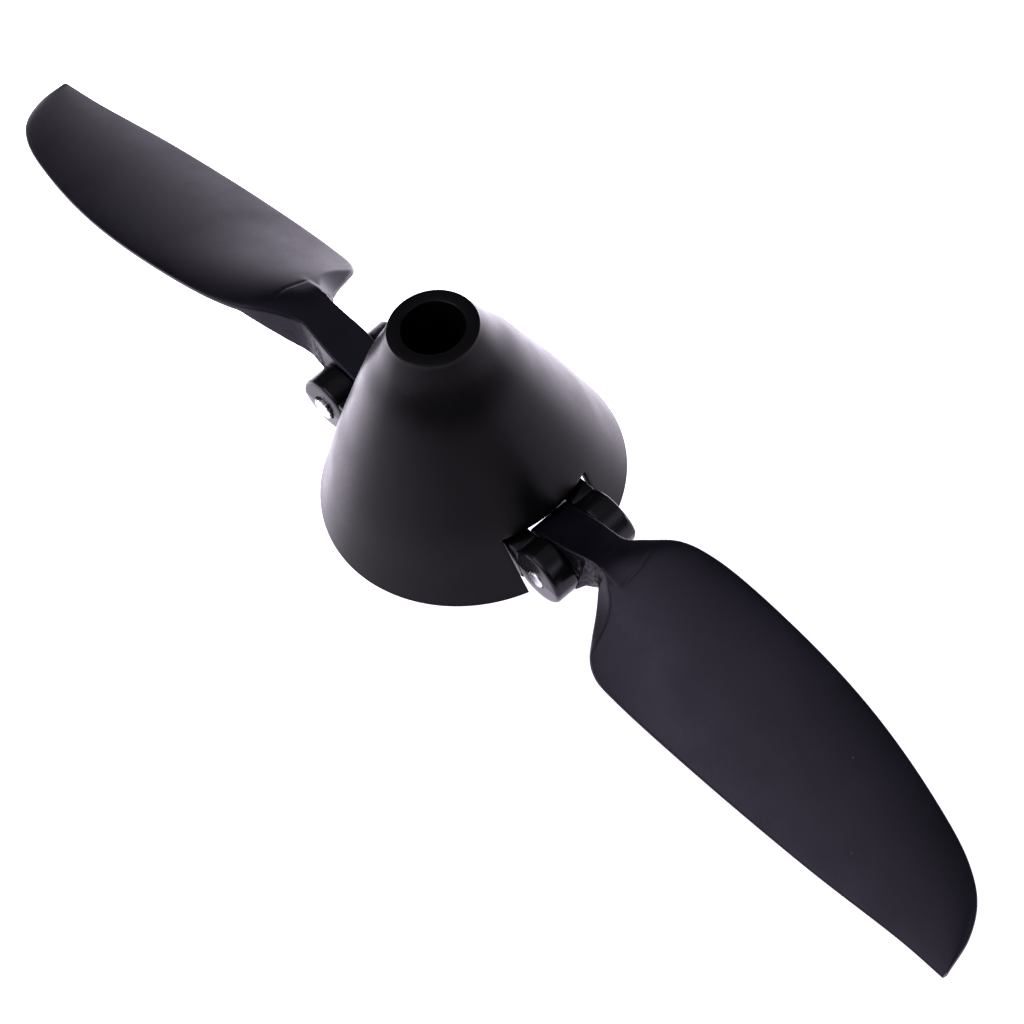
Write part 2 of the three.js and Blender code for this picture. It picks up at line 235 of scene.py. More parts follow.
def curve_through(points, samples=60):
    """A centripetal Catmull-Rom curve through flat points, as many points along it."""
    knots = np.array(points, float)
    knots = np.vstack([2 * knots[0] - knots[1], knots, 2 * knots[-1] - knots[-2]])
    spans = np.sqrt(np.linalg.norm(np.diff(knots, axis=0), axis=1))
    share = np.linspace(0, 1, samples, endpoint=False)[:, None]
    pieces = []
    for i in range(1, len(knots) - 2):
        before, start, end, after = knots[i - 1:i + 3]
        d0, d1, d2 = spans[i - 1:i + 2]
        leave = d1 * ((start - before) / d0 - (end - before) / (d0 + d1) + (end - start) / d1)
        arrive = d1 * ((end - start) / d1 - (after - start) / (d1 + d2) + (after - end) / d2)
        pieces.append(
            start + leave * share
            + (3 * (end - start) - 2 * leave - arrive) * share ** 2
            + (2 * (start - end) + leave + arrive) * share ** 3
        )
    return np.vstack([*pieces, knots[-2:-1]])


def spaced(line, shares):
    """Points at these fractions of a line's length."""
    steps = np.linalg.norm(np.diff(line, axis=0), axis=1)
    length = np.concatenate([[0], np.cumsum(steps)])
    return np.stack([np.interp(shares * length[-1], length, line[:, k]) for k in (0, 1)], axis=1)


def arc(centre, radius, start, end, steps):
    """Points of a flat arc, with its angles in degrees."""
    angles = np.radians(np.linspace(start, end, steps + 1))
    return [(centre[0] + radius * math.cos(a), centre[1] + radius * math.sin(a)) for a in angles]


# ---- mesh helpers ----------------------------------------------------------------------------


def piece(name, vertices, faces, sharp=40):
    """A mesh object from points in millimetres, smooth except at edges over the sharp angle."""
    mesh = bpy.data.meshes.new(name)
    mesh.from_pydata([Vector(v) * MM for v in vertices], [], faces)
    built = bmesh.new()
    built.from_mesh(mesh)
    bmesh.ops.remove_doubles(built, verts=built.verts, dist=1e-7)
    bmesh.ops.recalc_face_normals(built, faces=built.faces)
    built.to_mesh(mesh)
    built.free()
    made = bpy.data.objects.new(name, mesh)
    bpy.context.scene.collection.objects.link(made)
    shade(made, sharp)
    return made


def shade(made, sharp=40):
    made.data.shade_smooth()
    made.data.set_sharp_from_angle(angle=math.radians(sharp))


def settle(made):
    """Applies a piece's modifiers."""
    graph = bpy.context.evaluated_depsgraph_get()
    mesh = bpy.data.meshes.new_from_object(made.evaluated_get(graph))
    made.modifiers.clear()
    old = made.data
    made.data = mesh
    bpy.data.meshes.remove(old)
    return made


def boolean(made, tools, operation):
    """Joins tools to a piece or cuts it with them, and removes them."""
    for tool in tools:
        step = made.modifiers.new("boolean", "BOOLEAN")
        step.operation = operation
        step.solver = "EXACT"
        step.object = tool
    settle(made)
    for tool in tools:
        bpy.data.objects.remove(tool)
    return made


def join(made, *tools):
    return boolean(made, tools, "UNION")


def cut(made, *tools):
    return boolean(made, tools, "DIFFERENCE")


def turned(name, profile, segments=96, radius_at=None, centre=(0, 0, 0), axis="Z", sharp=40):
    """A closed outline of (radius, height) points turned about an axis through a centre.

    radius_at(radius, height, angle) may change the radius round the axis, as a knurl does.
    """
    angles = [2 * math.pi * j / segments for j in range(segments)]
    vertices = []
    for radius, height in profile:
        for angle in angles:
            r = radius_at(radius, height, angle) if radius_at else radius
            across, up = r * math.cos(angle), r * math.sin(angle)
            point = (across, up, height) if axis == "Z" else (across, height, up)
            vertices.append(np.add(centre, point))
    faces = []
    rows = len(profile)
    for i in range(rows):
        k = (i + 1) % rows
        for j in range(segments):
            m = (j + 1) % segments
            faces.append((i * segments + j, i * segments + m, k * segments + m, k * segments + j))
    made = piece(name, vertices, faces, sharp)
    drop_flat_faces(made)
    return made


def drop_flat_faces(made):
    """Clears what is left of faces that closed up on the axis."""
    built = bmesh.new()
    built.from_mesh(made.data)
    bmesh.ops.dissolve_degenerate(built, dist=1e-7, edges=built.edges)
    built.to_mesh(made.data)
    built.free()


def rounded_rod(radius, low, high, edge, steps=4):
    """Outline of a solid rod with rounded ends, to be turned."""
    return [
        (0, low), *arc((radius - edge, low + edge), edge, -90, 0, steps),
        *arc((radius - edge, high - edge), edge, 0, 90, steps), (0, high),
    ]


def rounded_tube(inner, outer, low, high, edge, steps=3):
    """Closed outline of a tube with all four rims rounded, to be turned."""
    return [
        *arc((outer - edge, low + edge), edge, -90, 0, steps),
        *arc((outer - edge, high - edge), edge, 0, 90, steps),
        *arc((inner + edge, high - edge), edge, 90, 180, steps),
        *arc((inner + edge, low + edge), edge, 180, 270, steps),
    ]


def prism(name, outline, low, high):
    """A flat outline of (x, y) raised from low to high along Z."""
    count = len(outline)
    vertices = [(x, y, low) for x, y in outline] + [(x, y, high) for x, y in outline]
    faces = [tuple(range(count))[::-1], tuple(range(count, 2 * count))]
    for i in range(count):
        k = (i + 1) % count
        faces.append((i, k, count + k, count + i))
    return piece(name, vertices, faces)


def hexagon(flats):
    corner = flats / math.sqrt(3)
    return [
        (corner * math.cos(math.radians(60 * i + 30)), corner * math.sin(math.radians(60 * i + 30)))
        for i in range(6)
    ]


def block(name, low, high):
    outline = [(low[0], low[1]), (high[0], low[1]), (high[0], high[1]), (low[0], high[1])]
    return prism(name, outline, low[2], high[2])


def soften(made, width, segments=3, angle=50):
    """Rounds a piece's edges over the given angle."""
    step = made.modifiers.new("bevel", "BEVEL")
    step.width = width * MM
    step.segments = segments
    step.limit_method = "ANGLE"
    step.angle_limit = math.radians(angle)
    settle(made)
    shade(made)
    return made


def turn(made, axis, degrees):
    """Turns a piece's mesh about an axis through the origin."""
    made.data.transform(Matrix.Rotation(math.radians(degrees), 4, axis))
    return made


# ---- spinner ---------------------------------------------------------------------------------


def spinner_profile():
    """Closed outline of the shell in four parts, and how many outer rows reach the slot's top.

    The parts are the outer rows, the points over the nose and down the bore and sleeve, the inner
    rows, which run back down at the outer rows' heights, and the points round the rim.
    """
    edge = SPINNER_EDGE
    skin = curve_through([
        (radius, mix(RIM_Z, NOSE_Z, along)) for along, radius in SPINNER_PROFILE
    ])
    slot_rows = np.linspace(RIM_Z + edge, SLOT_TOP, 15)
    cone_rows = np.linspace(SLOT_TOP, NOSE_Z - edge, 46)[1:]

    def radius_at(height):
        return float(np.interp(height, skin[:, 1], skin[:, 0]))

    outer = [(radius_at(z), z) for z in [*slot_rows, *cone_rows]]
    nose_radius = radius_at(NOSE_Z - edge)
    floor_rear = YOKE_FRONT - RECESS_DEPTH + SLEEVE_HEADROOM
    floor_front = floor_rear + SLEEVE_FLOOR
    sleeve_top = next(z for z in cone_rows if radius_at(z) - SPINNER_WALL < SLEEVE_RADIUS + 0.6)
    between = [
        *arc((nose_radius - edge, NOSE_Z - edge), edge, 0, 90, 4)[1:],
        *arc((NOSE_BORE_RADIUS + edge, NOSE_Z - edge), edge, 90, 180, 4),
        *[(NOSE_BORE_RADIUS, z) for z in np.linspace(NOSE_Z - 1, floor_front + 0.3, 12)],
        *arc((NOSE_BORE_RADIUS - 0.3, floor_front + 0.3), 0.3, 0, -90, 3)[1:],
        (SCREW_HOLE_RADIUS, floor_front), (SCREW_HOLE_RADIUS, floor_rear),
        *arc((SLEEVE_RADIUS - 0.2, floor_rear + 0.2), 0.2, -90, 0, 3),
        *[(SLEEVE_RADIUS, z) for z in np.linspace(floor_rear + 1, sleeve_top - 0.6, 10)],
        (SLEEVE_RADIUS + 0.1, sleeve_top - 0.25),
        (SLEEVE_RADIUS + 0.3, sleeve_top - 0.08),
    ]
    inner = [(r - SPINNER_WALL, z) for r, z in outer if z < sleeve_top][::-1]
    rim_outer = radius_at(RIM_Z)
    rim_inner = rim_outer - SPINNER_WALL
    rim = [
        *arc((rim_inner + edge, RIM_Z + edge), edge, 180, 270, 3)[1:],
        *arc((rim_outer - edge, RIM_Z + edge), edge, 270, 360, 3)[:-1],
    ]
    return outer, between, inner, rim, len(slot_rows)


def slot_columns(radius, top_radius, half_columns, side_columns):
    """Angles round the shell at one radius, with columns on both edges of both slots."""
    reach = math.asin(min(SLOT_HALF_WIDTH / max(radius, top_radius), 1))
    slot = np.linspace(-reach, reach, 2 * half_columns + 1)[:-1]
    side = np.linspace(reach, math.pi - reach, side_columns + 1)[:-1]
    return np.concatenate([slot, side, slot + math.pi, side + math.pi])


def spinner_shell():
    """The shell as one grid of quads, turned about Z, with the slots left open and walled."""
    half_columns, side_columns = 10, 64
    outer, between, inner, rim, slot_rows = spinner_profile()
    profile = [*outer, *between, *inner, *rim]
    top_outer = outer[slot_rows - 1][0]
    first_inner = len(outer) + len(between)
    vertices = []
    for k, (radius, z) in enumerate(profile):
        top_radius = top_outer if k < len(outer) else top_outer - SPINNER_WALL
        for angle in slot_columns(radius, top_radius, half_columns, side_columns):
            vertices.append((radius * math.cos(angle), radius * math.sin(angle), z))
    columns = len(vertices) // len(profile)

    def at(row, column):
        return (row % len(profile)) * columns + column % columns

    last_inner = first_inner + len(inner) - 1
    open_rows = {*range(slot_rows - 1), *range(last_inner - slot_rows + 1, len(profile))}
    openings = [(0, 2 * half_columns), (columns // 2, columns // 2 + 2 * half_columns)]
    open_columns = {j for start, end in openings for j in range(start, end)}
    faces = [
        (at(i, j), at(i, j + 1), at(i + 1, j + 1), at(i + 1, j))
        for i in range(len(profile)) for j in range(columns)
        if not (i in open_rows and j in open_columns)
    ]
    for start, end in openings:
        for j in (start, end):
            for i in range(slot_rows - 1):
                faces.append((
                    at(i, j), at(i + 1, j), at(last_inner - i - 1, j), at(last_inner - i, j),
                ))
            faces.append(tuple(at(i, j) for i in [*range(last_inner, len(profile)), 0]))
        for j in range(start, end):
            faces.append((
                at(slot_rows - 1, j), at(slot_rows - 1, j + 1),
                at(last_inner - slot_rows + 1, j + 1), at(last_inner - slot_rows + 1, j),
            ))
    shell = piece("spinner_cone", vertices, faces)
    soften(shell, 0.14, segments=2, angle=55)
    return shell


# ---- yoke ------------------------------------------------------------------------------------


def ear(side):
    """One ear of the hinge at +X: a round boss on a flat arm, thicker on the pin head's side."""
    edge, inner_edge = EAR_EDGE, EAR_INNER_EDGE
    outer = EAR_HEAD_OUTER if side > 0 else EAR_OUTER
    rings = [
        *arc((EAR_BOSS_RADIUS - inner_edge, EAR_INNER + inner_edge), inner_edge, -90, 0, 3),
        *[(EAR_BOSS_RADIUS, y) for y in np.linspace(EAR_INNER + 0.6, outer - 0.8, 4)],
        *arc((EAR_BOSS_RADIUS - edge, outer - edge), edge, 0, 90, 5),
        *[(r, outer) for r in (2.4, 2.0, 1.6, 1.2, 0.6)],
    ]
    profile = [(0, EAR_INNER), *rings, (0, outer)]
    boss = turned("ear_boss", profile, 96, centre=(PIN_X, 0, PIN_Z), axis="Y")
    for vertex in boss.data.vertices:
        draft = abs(vertex.co.z - PIN_Z * MM) * EAR_DRAFT
        if vertex.co.y > (outer - edge) * MM:
            vertex.co.y -= draft
        if vertex.co.x > (PIN_X + 0.1) * MM:
            vertex.co.x -= draft
    arm_end = PIN_X - EAR_BOSS_RADIUS + 1
    arm = block("ear_arm", (4, EAR_INNER, YOKE_REAR), (arm_end, EAR_OUTER, EAR_TOP))
    soften(arm, 0.3)
    join(boss, arm)
    if side < 0:
        boss.data.transform(Matrix.Scale(-1, 4, (0, 1, 0)))
        boss.data.flip_normals()
    return boss


def yoke():
    """The hub that carries both hinges."""
    body = turned("hinge_yoke", rounded_rod(YOKE_HUB_RADIUS, YOKE_REAR, YOKE_FRONT, 0.5), 128)
    web = block(
        "web",
        (-YOKE_WEB_HALF_LENGTH, -EAR_OUTER + 0.01, YOKE_REAR + 0.01),
        (YOKE_WEB_HALF_LENGTH, EAR_OUTER - 0.01, EAR_TOP - 0.01),
    )
    soften(web, 0.4)
    ears = [turn(ear(side), "Z", angle) for angle in (0, 180) for side in (1, -1)]
    join(body, web, *ears)
    hollow = turned(
        "recess", rounded_rod(SLEEVE_RADIUS + 0.3, YOKE_FRONT - RECESS_DEPTH, YOKE_FRONT + 2, 0.15),
    )
    socket = prism("socket", hexagon(SPIGOT_SOCKET_FLATS), YOKE_REAR - 1, YOKE_FRONT + 1)
    tools = [hollow, socket]
    for angle in (0, 180):
        bore = turned(
            "bore", rounded_rod(PIN_BORE_RADIUS, -EAR_OUTER - 1, EAR_OUTER + 1, 0.1), 48,
            centre=(PIN_X, 0, PIN_Z), axis="Y",
        )
        seat = turned(
            "seat", rounded_rod(PIN_SEAT_RADIUS, EAR_OUTER - PIN_SEAT_DEPTH, EAR_OUTER + 2, 0.1),
            48, centre=(PIN_X, 0, PIN_Z), axis="Y",
        )
        tools += [turn(bore, "Z", angle), turn(seat, "Z", angle)]
    cut(body, *tools)
    shade(body, 35)
    mark_parting_lines(body)
    return body


def mark_parting_lines(body):
    """Keeps the fold at pin height crisp on the drafted faces of the ears."""
    for edge in body.data.edges:
        ends = [body.data.vertices[i].co / MM for i in edge.vertices]
        flat = all(abs(p.z - PIN_Z) < 0.01 for p in ends)
        outer = all(abs(p.y) > EAR_OUTER - 0.5 for p in ends)
        front = all(abs(p.x) > PIN_X + EAR_BOSS_RADIUS - 0.3 for p in ends)
        if flat and (outer or front):
            edge.use_edge_sharp = True


# ---- hinge pins ------------------------------------------------------------------------------


def hinge_pin(name, angle):
    """A turned pin with a scalloped flat head and a plain flat end."""
    head_top = PIN_HIGH[1] + PIN_HEAD_STANDS_OUT
    head_base = head_top - PIN_HEAD_HEIGHT
    head, shank, edge = PIN_HEAD_RADIUS, PIN_SHANK_RADIUS, PIN_EDGE
    tail = PIN_LOW[1]
    profile = [
        (0, tail), (0.5, tail), (shank - edge, tail),
        *arc((shank - edge, tail + edge), edge, -90, 0, 3)[1:],
        (shank, head_base - 0.3), (shank, head_base),
        (head - edge, head_base), (head, head_base + edge),
        (head, head_base + 0.3), (head, head_top - 0.3),
        (head, head_top - 0.08), (head - 0.08, head_top),
        (0.6, head_top), (0, head_top),
    ]

    def scalloped(radius, height, turn_angle):
        if radius < head - 0.09 or height < head_base:
            return radius
        return radius - PIN_SCALLOP_DEPTH * (0.5 - 0.5 * math.cos(PIN_SCALLOPS * turn_angle))

    made = turned(name, profile, 192, scalloped, (PIN_X, 0, PIN_Z), "Y")
    return turn(made, "Z", angle)


# ---- blades ----------------------------------------------------------------------------------
# A blade is built lying along +X from its pin: s runs out from the pin, y leads, z is forward.
# Its shape is a stack of rings, each of which goes round the blade once.

# A ring has this many points on each side wall, between the ends of its faces.
WALL_POINTS = 16


def pitch_at(s):
    """How far the blade would advance in one turn there."""
    left = 1 - (s - BLADE_ROOT) / (BLADE_TIP - BLADE_ROOT)
    return mix(PITCH_ROOT, PITCH_TIP, 1 - left * left)


class Outline:
    """Both edges of the blade seen square to it: s runs out from the pin, y leads.

    lug is how far a lump of moulding flash stands out at the rear of the arm's trailing side.
    """

    def __init__(self, lug):
        self.lead = curve_through(LEADING_EDGE)
        self.trail = curve_through(TRAILING_EDGE)
        self.lug = lug

    def lead_at(self, s):
        return float(np.interp(s, self.lead[:, 0], self.lead[:, 1]))

    def trail_at(self, s):
        """The trailing edge as if it ran straight on inwards past the cut-off shoulder."""
        return float(np.interp(max(s, 16), self.trail[:, 0], self.trail[:, 1]))


def airfoil(outline, s, y):
    """Front and rear height of the bare blade at a place."""
    lead, trail = outline.lead_at(s), outline.trail_at(s)
    chord = max(lead - trail, 0.5)
    v = min(max((lead - y) / chord, 0.0), 1.0)
    leading = mix(ROOT_LEADING_THICKNESS, TRAILING_THICKNESS, smoothstep(8, 16, s))
    edge = mix(leading, TRAILING_THICKNESS, v)
    thick = mix(THICKNESS_ROOT, THICKNESS_TIP, math.sqrt(min(max(s, 0) / BLADE_TIP, 1)))
    half = (edge + max(thick - edge, 0) * 2.6 * math.sqrt(v) * (1 - v)) / 2
    middle = BLADE_HEIGHT + y * pitch_at(s) / (2 * math.pi * (PIN_X + s))
    middle += mix(CAMBER_ROOT, CAMBER, smoothstep(5, 26, s)) * chord * 4 * v * (1 - v)
    return middle + half, middle - half


def arm_front(s):
    """Height of the arm's flat front face, which rises outwards."""
    return ARM_BOSS_RADIUS / math.cos(ARM_LEAN) + math.tan(ARM_LEAN) * s


def flank_lean(outline, s, side):
    """How far a side wall of the arm spreads towards its rear edge.

    It spreads only beyond the ears, and the trailing wall may carry a lug.
    """
    if side > 0:
        return ARM_SPREAD_LEAD * smoothstep(1.5, 3.5, s) * (1 - smoothstep(6.0, 10.0, s))
    lug = outline.lug * math.exp(-((s - LUG_AT) / LUG_LENGTH) ** 2)
    return ARM_SPREAD_TRAIL * smoothstep(3.1, 4.3, s) * (1 - smoothstep(4.8, 6.8, s)) + lug


def shoulder_drop(s, y):
    """How far the sloping end face at the root's trailing side lies below the blade."""
    from_arm = max(-y - ARM_HALF_WIDTH, 0)
    crease = SHOULDER_CREASE - SHOULDER_SWEEP * math.exp(-from_arm / 1.5)
    beyond = soft_max(crease - s, 0, 0.2)
    return min(SHOULDER_SLOPE * beyond, SHOULDER_DEPTH) * smoothstep(0.5, 2.2, -y)


def front_height(outline, s, y):
    """Front face of arm and blade together."""
    plate = airfoil(outline, s, y)[0]
    top = soft_min(arm_front(s), soft_max(plate, ARM_TOP, 0.4), 0.9)
    top = mix(top, plate, smoothstep(5.6, 11.0, s))
    on_arm = 1 - smoothstep(ARM_HALF_WIDTH - 0.05, ARM_HALF_WIDTH + 0.5, -y)
    across = (s - GROOVE_AT + 0.1 * max(y, 0) ** 2) / GROOVE_WIDTH
    groove = GROOVE_DEPTH * math.exp(-across ** 2) * (1 - smoothstep(1.5, 2.6, abs(y)))
    pit_s, pit_y = (s - PIT_AT[0]) / PIT_SIZE[0], (y - PIT_AT[1]) / PIT_SIZE[1]
    pit = PIT_DEPTH * math.exp(-pit_s ** 2 - pit_y ** 2)
    return mix(plate - shoulder_drop(s, y), top, on_arm) - groove - pit


def rear_height(outline, s, y):
    """Rear face of arm and blade together."""
    plate = airfoil(outline, s, y)[1]
    keel = arm_front(s) - ARM_DEPTH + 0.12 * max(s - 8.4, 0)
    keel += KEEL_SLOPE_LEAD * max(y - ARM_HALF_WIDTH - flank_lean(outline, s, 1), 0)
    keel += KEEL_SLOPE_TRAIL * max(-y - ARM_HALF_WIDTH - flank_lean(outline, s, -1), 0)
    return min(soft_min(plate, keel, 0.3), front_height(outline, s, y) - THINNEST)


def distances_across(width, edge_a, edge_b, count=54, corner=5):
    """Distances across a section, closer together where its corners are rounded."""
    steps = np.linspace(0, math.pi / 2, corner + 1)
    start = edge_a * (1 - np.cos(steps))
    end = width - edge_b * (1 - np.cos(steps))[::-1]
    middle = np.linspace(edge_a, width - edge_b, count)[1:-1]
    return np.concatenate([start, middle, end])


def corner_drop(distance, radius):
    """How far a rounded edge lies below the face, at a distance from the side wall."""
    if distance >= radius:
        return 0.0
    return radius - math.sqrt(max(radius * radius - (radius - distance) ** 2, 0))


def section(front_ends, rear_ends, front_at, rear_at):
    """One ring of the blade: across the front face, down the trailing side, back, and up."""
    front = [np.array(p, float) for p in front_ends]
    rear = [np.array(p, float) for p in rear_ends]
    heights = [front_at(*front[0]) - rear_at(*rear[0]), front_at(*front[1]) - rear_at(*rear[1])]
    radii = [min(BLADE_EDGE, 0.46 * max(h, 0)) for h in heights]

    def face(ends, height_at, sign):
        width = np.linalg.norm(ends[1] - ends[0])
        points = []
        for x in distances_across(width, *radii):
            s, y = mix(ends[0], ends[1], x / width)
            drop = corner_drop(x, radii[0]) + corner_drop(width - x, radii[1])
            points.append((s, y, height_at(s, y) - sign * drop))
        return points

    top = face(front, front_at, 1)
    bottom = face(rear, rear_at, -1)
    shares = np.linspace(0, 1, WALL_POINTS + 2)[1:-1]
    trail_wall = [mix(np.array(top[-1]), np.array(bottom[-1]), t) for t in shares]
    lead_wall = [mix(np.array(bottom[0]), np.array(top[0]), t) for t in shares]
    return [*top, *trail_wall, *bottom[::-1], *lead_wall]


def arm_half_width(s):
    """The arm is widest over the pin, and its inner end is slightly rounded in plan."""
    width = mix(ARM_PIN_HALF_WIDTH, ARM_HALF_WIDTH, smoothstep(0.5, 4.5, s))
    inward = min(max(-3.8 - s, 0.0) / 0.4, 1.0)
    return width - 0.12 * (1 - math.sqrt(1 - inward * inward))


def round_pin(start, end, steps):
    """Side view of the arm's inner end between two angles in degrees: a heel, then a round boss."""
    front = 90 + math.degrees(ARM_LEAN)
    line = []
    for angle in np.linspace(start, end, steps + 1):
        plane = ARM_BOSS_RADIUS / max(math.cos(math.radians(angle - front)), 0.2)
        heel = mix(ARM_HEEL_RADIUS, ARM_BOSS_RADIUS, smoothstep(200, 240, angle))
        reach = soft_min(plane, heel, 0.25)
        line.append((reach * math.cos(math.radians(angle)), reach * math.sin(math.radians(angle))))
    return line


def boss_rings(outline, count=48):
    """Rings round the arm's boss, out to where the blade's outline starts."""
    end_front = (ARM_STRAIGHT_END, arm_front(ARM_STRAIGHT_END))
    keel_start = 22
    front_line = [*round_pin(180, 90 + math.degrees(ARM_LEAN), 60), end_front]
    rear_line = [
        *round_pin(180, 360 + keel_start, 120),
        (ARM_STRAIGHT_END, arm_front(ARM_STRAIGHT_END) - ARM_DEPTH),
    ]
    shares = np.linspace(0, 1, count, endpoint=False)
    rings = []
    for front, rear in zip(spaced(np.array(front_line), shares),
                           spaced(np.array(rear_line), shares)):
        ends = [
            [(p[0], arm_half_width(p[0])), (p[0], -arm_half_width(p[0]))] for p in (front, rear)
        ]
        ends[1][0] = (rear[0], ends[1][0][1] + flank_lean(outline, rear[0], 1))
        ends[1][1] = (rear[0], ends[1][1][1] - flank_lean(outline, rear[0], -1))
        rings.append(section(
            ends[0], ends[1], lambda s, y, z=front[1]: z, lambda s, y, z=rear[1]: z,
        ))
    return rings


def skin_rings(outline, count=190):
    """Rings from the arm out to the tip, closer together near the root."""
    shares = np.linspace(0, 1, count) ** 1.45
    lead = spaced(outline.lead, shares)
    trail = spaced(outline.trail, shares)

    def front_at(s, y):
        return front_height(outline, s, y)

    def rear_at(s, y):
        return rear_height(outline, s, y)

    rings = []
    for a, b in zip(lead, trail):
        rear_ends = (
            (a[0], a[1] + flank_lean(outline, a[0], 1)),
            (b[0], b[1] - flank_lean(outline, b[0], -1)),
        )
        rings.append(section((a, b), rear_ends, front_at, rear_at))
    return rings


def roughen(rings):
    """Moulding flash on the side walls of the arm: uneven, and deeper on the trailing one."""
    rough = []
    for ring in rings:
        changed = []
        for s, y, z in ring:
            on_wall = smoothstep(2.0, 2.1, abs(y)) * (1 - smoothstep(3.3, 3.8, abs(y)))
            share = on_wall * smoothstep(1.8, 3.2, s) * (1 - smoothstep(6.2, 7.6, s))
            if share > 0:
                depth = FLASH_DEPTH_TRAIL if y < 0 else FLASH_DEPTH_LEAD
                bump = noise.fractal(Vector((s * 1.8, y, z * 1.8)), 0.8, 2.1, 5)
                y -= math.copysign(depth * share * bump, y)
            changed.append((s, y, z))
        rough.append(changed)
    return rough


def blade(name, angle, lug):
    """Arm and blade moulded in one, hung on the pin at +X and then turned to its side."""
    outline = Outline(lug)
    rings = roughen([*boss_rings(outline), *skin_rings(outline)])
    size = len(rings[0])
    faces = [
        (i * size + j, i * size + (j + 1) % size, (i + 1) * size + (j + 1) % size,
         (i + 1) * size + j)
        for i in range(len(rings) - 1) for j in range(size)
    ]
    faces += tip_cap(rings, size)
    made = piece(name, [point for ring in rings for point in ring], faces, 50)
    drop_flat_faces(made)
    bore = turned("bore", rounded_rod(PIN_BORE_RADIUS, -4, 4, 0.1), 48, axis="Y")
    cut(made, bore)
    shade(made, 50)
    made.data.transform(Matrix.Rotation(BLADE_DROOP, 4, "Y"))
    made.data.transform(Matrix.Translation(Vector((PIN_X, 0, PIN_Z)) * MM))
    return turn(made, "Z", angle)


def tip_cap(rings, size):
    """Closes the last ring with quads between its front and rear points."""
    last = (len(rings) - 1) * size
    wall = WALL_POINTS
    half = (size - 2 * wall) // 2
    order_front = list(range(half)) + [half + i for i in range(wall // 2)]
    order_rear = [size - wall - 1 - i for i in range(half)]
    order_rear += [half + wall - 1 - i for i in range(wall // 2)]
    lead_side = [size - 1 - i for i in range(wall)]
    faces = []
    for a, b, c, d in zip(order_front, order_front[1:], order_rear[1:], order_rear):
        faces.append((last + a, last + b, last + c, last + d))
    faces.append(tuple(last + i for i in [0, order_rear[0], *lead_side[::-1]]))
    return faces


# ---- shaft adapter and screws ----------------------------------------------------------------


def shaft_adapter():
    """Turned flange with a hexagonal spigot, bored for the motor shaft and the screws."""
    top = ADAPTER_TOP
    flange_top = YOKE_REAR - 0.3
    radius, bore = ADAPTER_RADIUS, SHAFT_BORE_RADIUS
    groove = radius - ADAPTER_GROOVE_DEPTH
    profile = [
        (0, 0), (radius - 0.5, 0), (radius, 0.5), (radius, 1.1), (groove, 1.25),
        (groove, 1.45), (radius, 1.6), (radius, flange_top - 1.0),
        (groove, flange_top - 0.85), (groove, flange_top - 0.65),
        (radius, flange_top - 0.5), (radius, flange_top - 0.3), (radius - 0.3, flange_top),
        (0, flange_top),
    ]
    made = turned("shaft_collar", profile, 128, sharp=25)
    spigot = prism("spigot", hexagon(SPIGOT_FLATS), flange_top - 1, top)
    soften(spigot, 0.2, 2, 40)
    join(made, spigot)
    shaft = turned("bore", rounded_rod(bore, -1, 7.5, 0.1), 64)
    mouth = turned("mouth", [(0, -0.5), (bore + 0.9, -0.5), (bore, 0.4), (0, 0.4)], 64)
    thread = turned("thread", rounded_rod(bore, 5, top + 1, 0.1), 64)
    cross = turned(
        "cross", rounded_rod(bore + 0.02, -8, 8, 0.1), 48, centre=(0, 0, SET_SCREW_HEIGHT),
        axis="Y",
    )
    cut(made, shaft, mouth, thread, cross)
    shade(made, 25)
    return made


def screw_thread(name, low, high, axis="Z", centre=(0, 0, 0)):
    """A rod with a helical thread, pointed slightly at its low end."""
    depth = 0.6 * THREAD_PITCH
    rows = int((high - low) / THREAD_PITCH * 8)
    heights = np.linspace(low, high, rows + 1)

    def helix(r, height, angle):
        phase = (height / THREAD_PITCH - angle / (2 * math.pi)) % 1.0
        wave = abs(2 * phase - 1)
        taper = smoothstep(low - 0.1, low + 0.5, height)
        return max(r - depth * wave, 0.2) * mix(0.8, 1, taper) if r > 0 else 0

    profile = [(0, low), *[(SCREW_RADIUS, z) for z in heights], (0, high)]
    return turned(name, profile, 48, helix, centre, axis)


def socket_head():
    """Knurled cap screw with a hexagonal socket and a threaded shank."""
    top = SCREW_HIGH[2]
    head_low = top - CAP_HEIGHT
    radius = CAP_RADIUS

    def knurl(r, height, angle):
        if r < radius - 0.01 or not head_low + 0.3 < height < top - 0.4:
            return r
        return r - CAP_KNURL_DEPTH * (0.5 - 0.5 * math.cos(CAP_KNURLS * angle))

    profile = [
        (0, head_low), (radius - 0.25, head_low), (radius, head_low + 0.2),
        (radius, head_low + 0.29), (radius, head_low + 0.5), (radius, top - 0.6),
        (radius, top - 0.41), (radius, top - 0.3), (radius - 0.1, top - 0.1),
        (radius - 0.35, top), (0, top),
    ]
    made = turned("cap_screw", profile, 216, knurl)
    thread = screw_thread("thread", SCREW_LOW[2], head_low + 0.3)
    join(made, thread)
    socket = prism("socket", hexagon(CAP_SOCKET_FLATS), top - SOCKET_DEPTH, top + 1)
    lead_in = turned("lead", [(0, top - 0.2), (1.25, top - 0.2), (1.6, top + 0.2), (0, top + 0.2)])
    cut(made, socket, lead_in)
    shade(made, 30)
    return made


def washer():
    profile = rounded_tube(*WASHER_RADII, WASHER_LOW[2], WASHER_HIGH[2], 0.08)
    return turned("cap_washer", profile)


